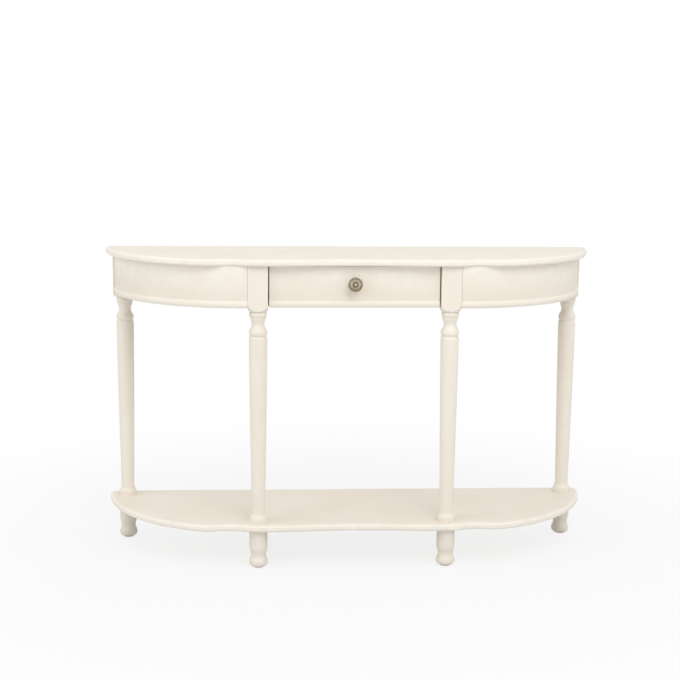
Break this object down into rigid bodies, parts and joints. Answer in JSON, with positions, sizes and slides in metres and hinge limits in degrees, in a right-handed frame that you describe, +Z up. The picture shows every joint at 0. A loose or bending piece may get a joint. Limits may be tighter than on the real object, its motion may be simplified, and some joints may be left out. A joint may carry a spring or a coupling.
{
  "type": "demilune table",
  "caption": "Half-moon console table with a wavy bullnose top and low shelf, turned legs and feet, bent beaded aprons and a wooden drawer with a rosette knob.",
  "frame": {"origin": "on the floor, under the middle of the top's bounding box", "axes": "+X along the straight back edge, -Y to the front where the drawer opens, +Z up"},
  "size_m": [1.2, 0.32, 0.737],
  "materials": {
    "cream_paint": "satin cream paint",
    "raw_wood": "planed, unfinished",
    "plywood": "sanded, unfinished",
    "aged_metal": "antiqued",
    "zinc_steel": "zinc plated",
    "nylon": "matt"
  },
  "bodies": {
    "frame": {"top_board": "cream_paint", "shelf": "cream_paint", "apron_left": "cream_paint", "apron_right": "cream_paint", "leg_front_left": "cream_paint", "leg_front_right": "cream_paint", "leg_rear_left": "cream_paint", "leg_rear_right": "cream_paint", "foot_front_left": "cream_paint", "foot_front_right": "cream_paint", "foot_rear_left": "cream_paint", "foot_rear_right": "cream_paint", "back_rail": "cream_paint", "front_rail_upper": "raw_wood", "front_rail_lower": "raw_wood", "runner_left": "raw_wood", "runner_right": "raw_wood", "kicker_left": "raw_wood", "kicker_right": "raw_wood", "drawer_stop_left": "raw_wood", "drawer_stop_right": "raw_wood", "glue_block_front_left": "raw_wood", "glue_block_front_right": "raw_wood", "glue_block_rear_left": "raw_wood", "glue_block_rear_right": "raw_wood", "leg_rods": "zinc_steel", "foot_glides": "nylon", "frame_dowels": "raw_wood", "back_rail_screws": "zinc_steel", "top_brackets": "zinc_steel", "top_bracket_screws": "zinc_steel"},
    "drawer": {"drawer_front": "cream_paint", "drawer_side_left": "raw_wood", "drawer_side_right": "raw_wood", "drawer_back": "raw_wood", "drawer_bottom": "plywood", "drawer_dowels": "raw_wood", "knob": "aged_metal", "knob_screw": "zinc_steel"}
  },
  "joints": [
    {"name": "drawer_slide", "type": "slide", "parent": "frame", "child": "drawer", "axis": [0, -1, 0], "range_m": [0, 0.17]}
  ]
}
